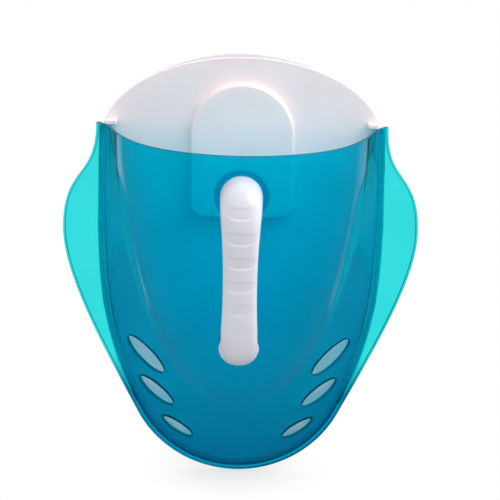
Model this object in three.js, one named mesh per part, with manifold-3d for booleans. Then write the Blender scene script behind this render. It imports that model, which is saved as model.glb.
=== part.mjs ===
// Bath toy organizer: a draining hand scoop that hangs by a keyhole pocket on a stick-on wall bracket.
// Millimetres, +Z up, front faces -Y. Heights count up from the lowest tip of the scoop, depths count
// forward from the rear plane of its flange. The last lines move the origin to the wall.
import * as THREE from "three";
import { mergeVertices } from "three/addons/utils/BufferGeometryUtils.js";
import Module from "manifold-3d";

const wasm = await Module();
wasm.setup();

// Clearances
const fitGap = 0.3;
const glueLine = 0.1;

// Scoop outline in the plane of its flange
const rimHeight = 324;
const rimHalfWidth = 126.8;
const tipRadius = 103;
const tipTurn = THREE.MathUtils.degToRad(63);
const sideFlare = 104;
const sideDrop = 106;
const flangeWidth = 2.2;
const flangeThickness = 2.5;

// Side fins, widenings of the flange with a bead along their edge
const finHalfWidth = 158.8;
const finWidestDrop = 96;
const finFlare = 60;
const finDrop = 45;
const finRise = 57;
const finTaper = 52;
const beadWidth = 1.6;
const beadSlope = 0.5;
const beadDepth = 4;

// Scoop wall: a rebate for the back panel, a sloped ledge, a drafted band and an egg-shaped crown
const wall = 2.4;
const rebateDepth = 5.5;
const ledgeWidth = 8.5;
const ledgeDepth = 15;
const seatWidth = 3.2;
const shoulderHalfWidth = 108.5;
const shoulderDrop = 248;
const shoulderDepth = 50;
const crownDepth = 86;
const crownPower = 2.6;
const crownSink = 30;

// Drain slots through the band: place of the middle, length, width and turn, from the upper pair down
const drainSlots = [
  { x: 83.4, height: 119, length: 44, width: 16, turn: 42 },
  { x: 73.9, height: 82.3, length: 38.4, width: 14, turn: 37 },
  { x: 54.7, height: 45.8, length: 33, width: 11.5, turn: 33 },
];

// Retaining nibs that the back panel snaps past, by station along each side
const nibStations = [0.3, 0.75, 1.2, 1.6];
const nibLength = 12;
const nibReach = 1;
const nibDepth = 1.2;

// Back panel
const panelThickness = 2.5;
const archSpringDrop = 12.7;
const archRise = 73.2;
const rimTabWidth = 10;
const rimTabDepth = 9;
const rimTabHeight = 4;

// Hanging pocket, a raised arch on the panel, open behind as a keyhole
const pocketRadius = 45.5;
const pocketMargin = 12;
const pocketCorner = 12;
const pocketRaise = 8;
const pocketWall = 2.4;
const neckRadius = 26;
const neckDrop = 8;
const neckLength = 10;
const tongueRadius = 36;
const tongueThickness = 3;
const entryMargin = 2;

// Handle: a hollow bow in two shells, screwed to two round seats on the crown
const upperSeatDrop = 33.3;
const upperSeatRadius = 22;
const seatPitch = 132.2;
const lowerSeatRadius = 16.6;
const seatRise = 1;
const seatFloor = 3;
const footRadius = 17.4;
const gripHalfWidth = 13.8;
const gripThickness = 19;
const gripReach = 186;
const upperBowPower = 4;
const lowerBowPower = 2.2;
const gripWall = 3;
const gripPower = 3.4;
const scallopCount = 6;
const scallopDrop = 4.2;
const scallopPitch = 19.8;
const scallopLength = 8.8;
const scallopDepth = 1.3;

// Handle screws and the posts that they run into
const screwRadius = 2;
const screwLength = 18;
const screwHeadRadius = 4;
const screwHeadHeight = 2.6;
const postRadius = 5;

// Wall bracket and its adhesive pads
const bracketHalfWidth = 78;
const bracketTopRadius = 170;
const bracketDrop = 52;
const bracketCorner = 14;
const bracketOverhang = 2.8;
const bracketThickness = 3;
const padWidth = 24;
const padHeight = 88;
const padThickness = 1.1;
const padCorner = 4;
const padPitch = 50;
const mountRise = 2;

// Derived places. Drops are measured down from the rim, or from what a piece hangs on.
const finHeight = rimHeight - finWidestDrop;
const archSpring = rimHeight - archSpringDrop;
const neckHeight = rimHeight - neckDrop;
const neckBase = neckHeight - neckLength;
const upperSeatHeight = rimHeight - upperSeatDrop;
const lowerSeatHeight = upperSeatHeight - seatPitch;
const scallopTop = upperSeatHeight - scallopDrop;
const bracketFoot = rimHeight - bracketDrop;
const mountHeight = rimHeight + mountRise;
const panelRear = nibDepth + fitGap;
const panelFront = panelRear + panelThickness;
const seatDepth = panelFront + fitGap;
const panelSide = wall + fitGap;
const standOff = bracketThickness + glueLine + padThickness;
const crownTop = shoulderDepth + crownDepth;
const shoulderFoot = rimHeight - shoulderDrop;

// Mesh resolution
const railSteps = 60;
const sideSteps = 8;
const fanSteps = 15;
const bandSteps = 4;
const crownSteps = 18;
const handleSteps = 30;
const handleSides = 14;
const roundSides = 28;
const curveSides = 12;
const cornerSides = 3;

const bluePlastic = new THREE.MeshStandardMaterial({ color: 0x16a8cc, roughness: 0.25, metalness: 0 });
const whitePlastic = new THREE.MeshStandardMaterial({ color: 0xe9e6ea, roughness: 0.4, metalness: 0 });
const steel = new THREE.MeshStandardMaterial({ color: 0xb4b6b8, roughness: 0.35, metalness: 1 });
const foam = new THREE.MeshStandardMaterial({ color: 0x8f9394, roughness: 0.9, metalness: 0 });

// A closed mesh as a solid: shared vertices merged, collapsed triangles dropped.
function solid(geometry) {
  const bare = geometry.clone();
  bare.deleteAttribute("normal");
  bare.deleteAttribute("uv");
  const merged = mergeVertices(bare, 1e-4);
  const triangles = [];
  for (let i = 0; i < merged.index.count; i += 3) {
    const [a, b, c] = merged.index.array.slice(i, i + 3);
    if (a !== b && b !== c && c !== a) triangles.push(a, b, c);
  }
  const vertProperties = merged.attributes.position.array;
  const triVerts = new Uint32Array(triangles);
  return new wasm.Manifold(new wasm.Mesh({ numProp: 3, vertProperties, triVerts }));
}

function part(name, body, material) {
  const { vertProperties, triVerts } = body.getMesh();
  const geometry = new THREE.BufferGeometry();
  geometry.setAttribute("position", new THREE.BufferAttribute(vertProperties, 3));
  geometry.setIndex(new THREE.BufferAttribute(triVerts, 1));
  geometry.computeVertexNormals();
  const mesh = new THREE.Mesh(geometry, material);
  mesh.name = name;
  return mesh;
}

// A shape drawn in x and height, thickened between two depths.
function plate(shape, rear, front, curveSegments = curveSides) {
  const options = { depth: front - rear, bevelEnabled: false, curveSegments };
  const geometry = new THREE.ExtrudeGeometry(shape, options);
  return solid(geometry.translate(0, 0, rear).rotateX(Math.PI / 2));
}

// A round bar along the depth.
function bar(radius, rear, front, x, height) {
  const geometry = new THREE.CylinderGeometry(radius, radius, front - rear, roundSides);
  return solid(geometry.translate(x, -(rear + front) / 2, height));
}

const point = (x, depth, height) => new THREE.Vector3(x, -depth, height);

// Right half of the body outline, moved inwards by inset, from the tip up to the rim.
function bodyOutline(inset) {
  const radius = tipRadius - flangeWidth - inset;
  const start = new THREE.Vector2(radius * Math.sin(tipTurn), tipRadius - radius * Math.cos(tipTurn));
  const side = rimHalfWidth - inset;
  const path = new THREE.Path();
  path.absarc(0, tipRadius, radius, -Math.PI / 2, tipTurn - Math.PI / 2);
  path.bezierCurveTo(
    start.x + sideFlare * Math.cos(tipTurn),
    start.y + sideFlare * Math.sin(tipTurn),
    side,
    rimHeight - sideDrop,
    side,
    rimHeight,
  );
  return path;
}

// Right half of the flange outline with its fin, moved inwards by inset.
function finOutline(inset) {
  const radius = tipRadius - inset;
  const start = new THREE.Vector2(radius * Math.sin(tipTurn), tipRadius - radius * Math.cos(tipTurn));
  const side = rimHalfWidth + flangeWidth - inset;
  const widest = finHalfWidth - inset;
  const path = new THREE.Path();
  path.absarc(0, tipRadius, radius, -Math.PI / 2, tipTurn - Math.PI / 2);
  path.bezierCurveTo(
    start.x + finFlare * Math.cos(tipTurn),
    start.y + finFlare * Math.sin(tipTurn),
    widest,
    finHeight - finDrop,
    widest,
    finHeight,
  );
  path.bezierCurveTo(widest, finHeight + finRise, side, rimHeight - finTaper, side, rimHeight);
  return path;
}

// Right half of the line where the band meets the crown.
function shoulderOutline(inset) {
  const path = new THREE.Path();
  path.absellipse(0, rimHeight, shoulderHalfWidth - inset, shoulderDrop - inset, -Math.PI / 2, 0);
  return path;
}

// Stations run from 0 at the rim to 1 at the hub by height, then to 2 at the tip by angle about the hub.
const hubHeight = (rimHeight + shoulderFoot) / 2;

function stationOf(p) {
  if (p.y >= hubHeight) return (rimHeight - p.y) / (rimHeight - hubHeight);
  return 1 + Math.atan2(hubHeight - p.y, p.x) / (Math.PI / 2);
}

// The point of an outline at a station.
function rail(path) {
  const points = path.getPoints(railSteps);
  const stations = points.map(stationOf);
  return (station) => {
    const next = stations.findIndex((s) => s <= station);
    if (next === 0) return new THREE.Vector2(0, points[0].y);
    const share = (stations[next - 1] - station) / (stations[next - 1] - stations[next]);
    return points[next - 1].clone().lerp(points[next], share);
  };
}

const stations = [];
for (let i = 0; i <= sideSteps; i++) stations.push(i / sideSteps);
for (let i = 1; i <= fanSteps; i++) stations.push(1 + i / fanSteps);

// Depth of the crown on its middle line: upright at the rim, then falling back faster and faster.
function crownAt(height, inset = 0) {
  const fall = (rimHeight - height) / (shoulderDrop - inset);
  return shoulderDepth + (crownDepth - inset) * (1 - fall ** crownPower);
}

// The crown's section at a station is the front of an oval, cut off at the two shoulder lines. The oval's
// middle lies crownSink behind them.
function crownArc(at, inset) {
  const middle = shoulderDepth - crownSink;
  const reach = crownAt(at.y, inset) - middle;
  const arc = [];
  for (let i = 0; i <= crownSteps; i++) {
    const across = Math.cos((Math.PI * i) / crownSteps);
    const depth = middle + Math.sqrt(reach ** 2 - across ** 2 * (reach ** 2 - crownSink ** 2));
    arc.push(point(at.x * across, depth, at.y));
  }
  return arc;
}

// One skin of the scoop. rows are the outlines and depths from the fin edge to the start of the band.
function skin(rows, inset) {
  const shoulder = rail(shoulderOutline(inset));
  return stations.map((station) => {
    const side = rows.map(([line, depth]) => ({ at: line(station), depth }));
    const from = side.at(-1);
    const to = { at: shoulder(station), depth: shoulderDepth };
    for (let i = 1; i < bandSteps; i++) {
      const share = i / bandSteps;
      const depth = THREE.MathUtils.lerp(from.depth, to.depth, share);
      side.push({ at: from.at.clone().lerp(to.at, share), depth });
    }
    const right = side.map(({ at, depth }) => point(at.x, depth, at.y));
    const left = side.map(({ at, depth }) => point(-at.x, depth, at.y)).reverse();
    return [...right, ...crownArc(to.at, inset), ...left];
  });
}

// Joins an outer and an inner skin into one wall, flat along the rim and zipped up at the tip.
function wallBetween(outer, inner) {
  const rows = outer.length;
  const columns = outer[0].length;
  const index = (side, i, j) => (side * rows + i) * columns + j;
  const triangles = [];
  const quad = (a, b, c, d) => triangles.push(a, b, c, a, c, d);
  for (let i = 0; i + 1 < rows; i++) {
    for (let j = 0; j + 1 < columns; j++) {
      quad(index(0, i, j), index(0, i, j + 1), index(0, i + 1, j + 1), index(0, i + 1, j));
      quad(index(1, i, j), index(1, i + 1, j), index(1, i + 1, j + 1), index(1, i, j + 1));
    }
    const last = columns - 1;
    quad(index(0, i, 0), index(0, i + 1, 0), index(1, i + 1, 0), index(1, i, 0));
    quad(index(0, i, last), index(1, i, last), index(1, i + 1, last), index(0, i + 1, last));
  }
  for (let j = 0; j + 1 < columns; j++) {
    quad(index(0, 0, j), index(1, 0, j), index(1, 0, j + 1), index(0, 0, j + 1));
  }
  const geometry = new THREE.BufferGeometry().setFromPoints([...outer.flat(), ...inner.flat()]);
  geometry.setIndex(triangles);
  return solid(geometry);
}

function scoopWall() {
  const third = 1 / 3;
  const bead = rail(finOutline(beadWidth));
  const beadFoot = rail(finOutline(beadWidth + beadSlope));
  const edge = rail(finOutline(0));
  const outerRows = [
    [edge, beadDepth],
    [bead, beadDepth],
    [beadFoot, flangeThickness],
    [rail(bodyOutline(0)), flangeThickness],
    [rail(bodyOutline(0)), rebateDepth],
    [rail(bodyOutline(ledgeWidth * third)), THREE.MathUtils.lerp(rebateDepth, ledgeDepth, third)],
    [rail(bodyOutline(ledgeWidth)), ledgeDepth],
  ];
  const innerRows = [
    [edge, 0],
    [bead, 0],
    [beadFoot, 0],
    [rail(bodyOutline(wall)), 0],
    [rail(bodyOutline(wall)), seatDepth],
    [rail(bodyOutline(wall + seatWidth)), seatDepth],
    [rail(bodyOutline(wall + ledgeWidth)), ledgeDepth - wall / 2],
  ];
  return wallBetween(skin(outerRows, 0), skin(innerRows, wall));
}

// Flat face of a handle seat, just proud of the crown at its upper edge.
const seatFace = (height, radius) => crownAt(height + radius) + seatRise;
const upperFace = seatFace(upperSeatHeight, upperSeatRadius);
const lowerFace = seatFace(lowerSeatHeight, lowerSeatRadius);

// The space behind the middle of the crown's wall.
function crownCore() {
  const inset = wall / 2;
  const shoulder = rail(shoulderOutline(inset));
  const front = stations.map((station) => crownArc(shoulder(station), inset));
  const rear = front.map((arc) => arc.map((p) => point(p.x, 0, p.z)));
  return wallBetween(front, rear);
}

// Adds a cored round seat with a screw hole to the wall.
function withHandleSeat(body, height, radius, face) {
  const boss = bar(radius, shoulderDepth, face, 0, height).subtract(crownCore());
  const core = bar(radius - wall, shoulderDepth, face - seatFloor, 0, height);
  const hole = bar(screwRadius + fitGap, shoulderDepth, face + seatRise, 0, height);
  return body.add(boss).subtract(core).subtract(hole);
}

function drainSlot(slot, side) {
  const turn = -side * THREE.MathUtils.degToRad(slot.turn);
  const shape = new THREE.Shape();
  shape.absellipse(-side * slot.x, slot.height, slot.length / 2, slot.width / 2, 0, 2 * Math.PI, false, turn);
  return plate(shape, rebateDepth, crownTop);
}

// A nib is a small block on the rebate wall, square to the outline, rooted halfway into the wall.
function nib(station, side) {
  const line = rail(bodyOutline(wall));
  const at = line(station);
  const along = line(station - 0.01).sub(line(station + 0.01));
  const size = [nibLength, nibDepth, nibReach + wall / 2];
  const block = new THREE.BoxGeometry(...size).translate(0, 0, size[2] / 2 - wall / 2);
  block.rotateY(-Math.atan2(along.y, along.x));
  block.translate(at.x, -nibDepth / 2, at.y);
  if (side < 0) block.rotateZ(Math.PI).translate(0, -nibDepth, 0);
  return solid(block);
}

function makeScoopShell() {
  let body = scoopWall();
  body = withHandleSeat(body, upperSeatHeight, upperSeatRadius, upperFace);
  body = withHandleSeat(body, lowerSeatHeight, lowerSeatRadius, lowerFace);
  for (const side of [-1, 1]) {
    for (const slot of drainSlots) body = body.subtract(drainSlot(slot, side));
    for (const station of nibStations) body = body.add(nib(station, side));
  }
  return part("scoop_shell", body, bluePlastic);
}

// An arch-topped opening or tab: a round head over straight sides.
function archShape(radius, centre, foot) {
  const shape = new THREE.Shape();
  shape.moveTo(-radius, foot);
  shape.lineTo(radius, foot);
  shape.absarc(0, centre, radius, 0, Math.PI);
  shape.closePath();
  return shape;
}

// The pocket's own outline: an arch with rounded lower corners.
function pocketShape(inset) {
  const radius = pocketRadius - inset;
  const corner = pocketCorner - inset;
  const foot = pocketFoot + inset;
  const shape = new THREE.Shape();
  shape.absarc(0, neckHeight, radius, 0, Math.PI);
  shape.absarc(-radius + corner, foot + corner, corner, Math.PI, 1.5 * Math.PI);
  shape.absarc(radius - corner, foot + corner, corner, 1.5 * Math.PI, 2 * Math.PI);
  shape.closePath();
  return shape;
}

// The panel fills the rebate up to the spring line and ends above the rim in a low arch.
function panelShape() {
  const line = rail(bodyOutline(panelSide));
  const below = stations.map(line).filter((p) => p.y < archSpring);
  const halfWidth = rimHalfWidth - panelSide;
  const shape = new THREE.Shape();
  shape.absellipse(0, archSpring, halfWidth, archRise, 0, Math.PI);
  for (const p of below) shape.lineTo(-p.x, p.y);
  for (const p of below.slice(0, -1).reverse()) shape.lineTo(p.x, p.y);
  shape.closePath();
  return shape;
}

const tongueTop = neckHeight + tongueRadius;
const entryTop = neckBase - entryMargin;
const liftTravel = tongueTop - entryTop + entryMargin;
const entryFoot = neckBase - liftTravel - entryMargin;
const pocketFoot = entryFoot - pocketMargin;

function makeBackPanel() {
  let body = plate(panelShape(), panelRear, panelFront);
  const pocketFront = panelFront + pocketRaise;
  body = body.add(plate(pocketShape(0), panelFront - panelThickness / 2, pocketFront));
  body = body.subtract(plate(pocketShape(pocketWall), panelFront, pocketFront - pocketWall));
  const slot = archShape(neckRadius + fitGap, neckHeight, entryTop - entryMargin);
  body = body.subtract(plate(slot, panelRear - 1, panelFront + 1));
  const entryHalf = tongueRadius + entryMargin;
  const entry = new THREE.Shape();
  entry.moveTo(-entryHalf, entryFoot);
  entry.lineTo(entryHalf, entryFoot);
  entry.lineTo(entryHalf, entryTop);
  entry.lineTo(-entryHalf, entryTop);
  entry.closePath();
  body = body.subtract(plate(entry, panelRear - 1, panelFront + 1));
  const archShare = (rimHeight + rimTabHeight + fitGap - archSpring) / archRise;
  const tabSide = (rimHalfWidth - panelSide) * Math.sqrt(1 - archShare * archShare) - fitGap;
  for (const side of [-1, 1]) {
    const depth = rimTabDepth + panelThickness / 2;
    const tab = new THREE.BoxGeometry(rimTabWidth, depth, rimTabHeight);
    const middle = panelFront + rimTabDepth - depth / 2;
    tab.translate(side * (tabSide - rimTabWidth / 2), -middle, rimHeight + fitGap + rimTabHeight / 2);
    body = body.add(solid(tab));
  }
  return part("back_panel", body, whitePlastic);
}

// Side profiles of the handle are half superellipses that stand on the seats, squarer above than below.
// rise runs from 1 at the upper seat to -1 at the lower one, and reach is the depth at the middle.
const handleMiddle = (upperSeatHeight + lowerSeatHeight) / 2;
const handleSpan = (upperSeatHeight - lowerSeatHeight) / 2;

const bowPower = (rise) => (rise > 0 ? upperBowPower : lowerBowPower);

function bow(rise, span, reach) {
  const base = (rise > 0 ? upperFace : lowerFace) + fitGap;
  const lift = Math.max(0, 1 - Math.abs(rise) ** bowPower(rise)) ** (1 / bowPower(rise));
  return { depth: base + (reach - base) * lift, height: handleMiddle + span * rise };
}

// Cross-section of the handle at a turn from the upper seat: middle, outward direction, half thickness,
// half width and roundness. It is round at the feet, narrower and flatter in front towards the middle.
function handleSection(turn) {
  const [up, forward] = [Math.cos(turn), Math.sin(turn)];
  const power = bowPower(up);
  const rise = up / (Math.abs(up) ** power + forward ** power) ** (1 / power);
  const front = bow(rise, handleSpan + footRadius, gripReach);
  const back = bow(rise, handleSpan - footRadius, gripReach - gripThickness);
  const out = new THREE.Vector2(front.depth - back.depth, front.height - back.height);
  const middle = new THREE.Vector2(front.depth + back.depth, front.height + back.height).divideScalar(2);
  const thickness = out.length() / 2;
  const width = gripHalfWidth + (footRadius - gripHalfWidth) * rise ** 2;
  const roundness = THREE.MathUtils.lerp(gripPower, 2, rise ** 2);
  return { middle, out: out.normalize(), thickness, width, roundness };
}

// One half of the handle, half a hollow superellipse carried along the bow. side is 1 in front and
// -1 behind.
function handleHalf(side) {
  const ring = 2 * (handleSides + 1);
  const points = [];
  for (let i = 0; i <= handleSteps; i++) {
    const { middle, out, thickness, width, roundness } = handleSection((Math.PI * i) / handleSteps);
    for (let k = 0; k < ring; k++) {
      const inside = k > handleSides;
      const step = inside ? ring - 1 - k : k;
      const inset = inside ? gripWall : 0;
      const turn = (Math.PI * step) / handleSides;
      const across = Math.sign(Math.cos(turn)) * Math.abs(Math.cos(turn)) ** (2 / roundness);
      const lift = side * ((thickness - inset) * Math.sin(turn) ** (2 / roundness) + fitGap / 2);
      const x = side * (width - inset) * across;
      points.push(point(x, middle.x + out.x * lift, middle.y + out.y * lift));
    }
  }
  const triangles = [];
  const quad = (a, b, c, d) => triangles.push(a, b, c, a, c, d);
  for (let i = 0; i < handleSteps; i++) {
    for (let k = 0; k < ring; k++) {
      const here = i * ring;
      const next = here + ring;
      const after = (k + 1) % ring;
      quad(here + k, here + after, next + after, next + k);
    }
  }
  const end = handleSteps * ring;
  for (let k = 0; k < handleSides; k++) {
    const pair = ring - 1 - k;
    quad(k, pair, pair - 1, k + 1);
    quad(end + k, end + k + 1, end + pair - 1, end + pair);
  }
  const geometry = new THREE.BufferGeometry().setFromPoints(points);
  geometry.setIndex(triangles);
  return solid(geometry);
}

// Front profile of the handle at a height, with its outward direction.
function gripFrontAt(height) {
  const span = handleSpan + footRadius;
  const place = (h) => bow((h - handleMiddle) / span, span, gripReach);
  const here = place(height);
  const slope = place(height + 0.5).depth - place(height - 0.5).depth;
  const out = new THREE.Vector2(1, -slope).normalize();
  return { ...here, out };
}

// A finger scallop is a round bar across the grip that dips into its front.
function scallop(height) {
  const radius = (scallopLength ** 2 / 4 + scallopDepth ** 2) / (2 * scallopDepth);
  const { depth, out } = gripFrontAt(height);
  const lift = radius - scallopDepth;
  const cutter = new THREE.CylinderGeometry(radius, radius, 4 * footRadius, 2 * roundSides);
  cutter.rotateZ(Math.PI / 2).translate(0, -(depth + out.x * lift), height + out.y * lift);
  return solid(cutter);
}

// A screw post runs forward from just short of its seat and ends within the handle's front wall, on a slope
// that follows the wall.
function screwPost(height, face) {
  const { depth, out } = gripFrontAt(height);
  const size = 4 * footRadius;
  const cover = new THREE.BoxGeometry(size, size, size).translate(0, (gripWall - size) / 2, 0);
  cover.rotateX(-Math.atan2(out.y, out.x)).translate(0, -depth, height);
  const post = bar(postRadius, face + fitGap + seatRise, gripReach, 0, height).subtract(solid(cover));
  const pilot = bar(screwRadius + fitGap, face, face - seatFloor + screwLength + seatRise, 0, height);
  return { post, pilot };
}

function makeHandleFront() {
  let body = handleHalf(1);
  for (const [height, face] of [[upperSeatHeight, upperFace], [lowerSeatHeight, lowerFace]]) {
    const { post, pilot } = screwPost(height, face);
    body = body.add(post).subtract(pilot);
  }
  for (let i = 0; i < scallopCount; i++) body = body.subtract(scallop(scallopTop - i * scallopPitch));
  return part("handle_front", body, whitePlastic);
}

function makeHandleBack() {
  return part("handle_back", handleHalf(-1), whitePlastic);
}

// A pan-head screw, driven from inside the scoop.
function makeHandleScrew(name, height, face) {
  const under = face - seatFloor - glueLine;
  const head = bar(screwHeadRadius, under - screwHeadHeight, under, 0, height);
  const shank = bar(screwRadius, under - screwHeadHeight / 2, under + screwLength, 0, height);
  return part(name, head.add(shank), steel);
}

// The bracket's top is an arc that stands a little above the panel's arch, between upright sides.
function bracketShape() {
  const centre = archSpring + archRise + bracketOverhang - bracketTopRadius;
  const cut = Math.acos(bracketHalfWidth / bracketTopRadius);
  const shape = new THREE.Shape();
  shape.absarc(0, centre, bracketTopRadius, cut, Math.PI - cut);
  const [corner, foot] = [bracketCorner, bracketFoot];
  shape.absarc(corner - bracketHalfWidth, foot + corner, corner, Math.PI, 1.5 * Math.PI);
  shape.absarc(bracketHalfWidth - corner, foot + corner, corner, 1.5 * Math.PI, 2 * Math.PI);
  shape.closePath();
  return shape;
}

function makeWallBracket() {
  const tongueRear = panelFront + 2 * fitGap;
  const neck = archShape(neckRadius, neckHeight, neckBase);
  const tongue = archShape(tongueRadius, neckHeight, neckBase);
  const body = plate(bracketShape(), -bracketThickness, 0)
    .add(plate(neck, -bracketThickness / 2, tongueRear + tongueThickness / 2))
    .add(plate(tongue, tongueRear, tongueRear + tongueThickness));
  return part("wall_bracket", body, whitePlastic);
}

function makeAdhesivePad(name, x) {
  const [halfWidth, halfHeight] = [padWidth / 2 - padCorner, padHeight / 2 - padCorner];
  const shape = new THREE.Shape();
  shape.absarc(x + halfWidth, mountHeight + halfHeight, padCorner, 0, Math.PI / 2);
  shape.absarc(x - halfWidth, mountHeight + halfHeight, padCorner, Math.PI / 2, Math.PI);
  shape.absarc(x - halfWidth, mountHeight - halfHeight, padCorner, Math.PI, 1.5 * Math.PI);
  shape.absarc(x + halfWidth, mountHeight - halfHeight, padCorner, 1.5 * Math.PI, 2 * Math.PI);
  shape.closePath();
  return part(name, plate(shape, -standOff, -standOff + padThickness, cornerSides), foam);
}

const hanger = new THREE.Group();
hanger.add(makeWallBracket());
hanger.add(makeAdhesivePad("adhesive_pad_left", -padPitch));
hanger.add(makeAdhesivePad("adhesive_pad_centre", 0));
hanger.add(makeAdhesivePad("adhesive_pad_right", padPitch));

const scoop = new THREE.Group();
scoop.add(makeScoopShell());
scoop.add(makeBackPanel());
scoop.add(makeHandleFront());
scoop.add(makeHandleBack());
scoop.add(makeHandleScrew("upper_handle_screw", upperSeatHeight, upperFace));
scoop.add(makeHandleScrew("lower_handle_screw", lowerSeatHeight, lowerFace));

// The origin is on the wall, behind the middle of the centre pad.
const organizer = new THREE.Group();
organizer.add(hanger, scoop);
for (const group of [hanger, scoop]) group.position.set(0, -standOff, -mountHeight);

export default organizer;
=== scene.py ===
"""Looks of a bath toy organizer: see-through scoop, white back panel, bow handle and wall bracket.

Sizes are in millimetres. Heights count up from the lowest tip of the scoop, depths forward from the rear of
its flange. place() turns them into metres in the part's frame, whose origin is on the wall.
"""
import functools
import math

import bmesh
import bpy
import numpy as np
from mathutils import Matrix, Vector


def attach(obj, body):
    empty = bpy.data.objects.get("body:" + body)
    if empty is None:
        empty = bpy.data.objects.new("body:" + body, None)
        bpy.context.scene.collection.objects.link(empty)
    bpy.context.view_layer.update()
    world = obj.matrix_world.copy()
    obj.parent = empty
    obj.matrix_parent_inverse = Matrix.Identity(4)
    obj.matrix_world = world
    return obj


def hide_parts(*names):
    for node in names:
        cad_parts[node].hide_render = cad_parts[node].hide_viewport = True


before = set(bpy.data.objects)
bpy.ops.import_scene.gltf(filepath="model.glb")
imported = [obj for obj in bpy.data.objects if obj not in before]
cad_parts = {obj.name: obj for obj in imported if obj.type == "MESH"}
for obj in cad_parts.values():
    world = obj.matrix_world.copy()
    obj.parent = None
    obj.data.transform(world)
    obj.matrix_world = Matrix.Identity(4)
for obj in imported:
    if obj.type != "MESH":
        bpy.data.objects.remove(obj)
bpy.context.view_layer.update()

# The unit in metres, the distance at which points are merged, and what counts as nothing
MILLIMETRE = 0.001
MERGE_DISTANCE = 0.002
TINY = 1e-6

# Clearance between neighbouring mouldings, and between pieces that are glued or screwed together
FIT_GAP = 0.3
CONTACT_GAP = 0.1

# Scoop outline in the plane of its flange
RIM_HEIGHT = 324.0
RIM_HALF_WIDTH = 126.8
TIP_RADIUS = 103.0
TIP_TURN = math.radians(63)
TIP_HEADING = np.array([math.cos(TIP_TURN), math.sin(TIP_TURN)])
SIDE_FLARE = 104.0
SIDE_DROP = 106.0
FLANGE_WIDTH = 2.2
FLANGE_THICKNESS = 2.5

# Side fins with a bead along their edge
FIN_HALF_WIDTH = 158.8
FIN_HEIGHT = RIM_HEIGHT - 96.0
FIN_FLARE = 60.0
FIN_DROP = 45.0
FIN_RISE = 57.0
FIN_TAPER = 52.0
BEAD_WIDTH = 1.6
BEAD_SLOPE = 0.9
BEAD_DEPTH = 4.0

# Scoop wall: rebate for the panel, sloped ledge that flattens to the tip, drafted band, egg-shaped crown
WALL = 2.4
REBATE_DEPTH = 5.5
LEDGE_WIDTH = 8.5
LEDGE_DEPTH = 15.0
LEDGE_TIP_DEPTH = 10.0
LEDGE_FLATTENING = 0.8
SEAT_WIDTH = 3.2
SHOULDER_HALF_WIDTH = 108.5
SHOULDER_DROP = 248.0
SHOULDER_DEPTH = 50.0
CROWN_DEPTH = 86.0
CROWN_POWER = 2.6
CROWN_SINK = 30.0
CREASE_DROP = 3.0
CREASE_WIDTH = 6.0
HUB_HEIGHT = RIM_HEIGHT - SHOULDER_DROP / 2

# Rounded edge of the wall: its swell, the share of that along the fins, its points across the wall
EDGE_SWELL = 0.5
FIN_EDGE_SHARE = 0.3
EDGE_STEPS = (0.08, 0.27, 0.5, 0.73, 0.92)

# Drain slots of one side: x, height, length, width, turn in degrees
DRAIN_SLOTS = (
    (83.4, 119.0, 44.0, 16.0, 42.0),
    (73.9, 82.3, 38.4, 14.0, 37.0),
    (54.7, 45.8, 33.0, 11.5, 33.0),
)

# Nibs that hold the panel in its rebate
NIB_STATIONS = (0.3, 0.75, 1.2, 1.6)
NIB_LENGTH = 12.0
NIB_REACH = 1.0
NIB_ROOT = 0.5
NIB_DEPTH = 1.2

# Back panel, its rim tabs and its hanging pocket
PANEL_REAR = NIB_DEPTH + FIT_GAP
PANEL_FRONT = PANEL_REAR + 2.5
PANEL_SIDE = WALL + FIT_GAP
PANEL_ROUND = 0.9
SEAT_DEPTH = PANEL_FRONT + FIT_GAP
ARCH_SPRING = RIM_HEIGHT - 12.7
ARCH_RISE = 73.2
TAB_WIDTH = 10.0
TAB_DEPTH = 10.25
TAB_HEIGHT = 4.0
TAB_FRONT = PANEL_FRONT + 9.0
NECK_HEIGHT = RIM_HEIGHT - 8.0
NECK_BASE = NECK_HEIGHT - 10.0
NECK_RADIUS = 26.0
TONGUE_RADIUS = 36.0
TONGUE_THICKNESS = 3.0
ENTRY_MARGIN = 2.0
ENTRY_TOP = NECK_BASE - ENTRY_MARGIN
ENTRY_FOOT = NECK_BASE - 52.0
KEYHOLE_CHAMFER = 0.4
POCKET_RADIUS = 45.5
POCKET_MIDDLE = RIM_HEIGHT - 29.0
POCKET_FOOT = ENTRY_FOOT - 12.0
POCKET_CORNER = 12.0
POCKET_RAISE = 8.0
POCKET_ROUND = 2.0
POCKET_DRAFT = 0.5
POCKET_FILLET = 1.5
POCKET_WALL = 2.4

# Handle seats; the lower one is a cup with a fillet (out from its side, forward of the crown) and a rounded
# edge (in from its side, back from its face)
UPPER_SEAT = RIM_HEIGHT - 33.3
LOWER_SEAT = UPPER_SEAT - 132.2
UPPER_SEAT_RADIUS = 22.0
LOWER_SEAT_RADIUS = 14.4
SEAT_RISE = 1.0
SEAT_EDGE = 2.6
SEAT_FLOOR = 3.0
SEAT_FILLET = ((2.2, -0.2), (1.2, 0.15), (0.5, 0.55), (0.1, 1.3), (0.0, 2.2))
SEAT_ROUND = ((0.0, 0.9), (0.15, 0.45), (0.45, 0.15), (0.9, 0.0))
SEAT_SKIRT = 1.2
HOLE_CHAMFER = 0.4
CORE_CORNER = 1.2
CORE_STEP = 0.2

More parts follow.
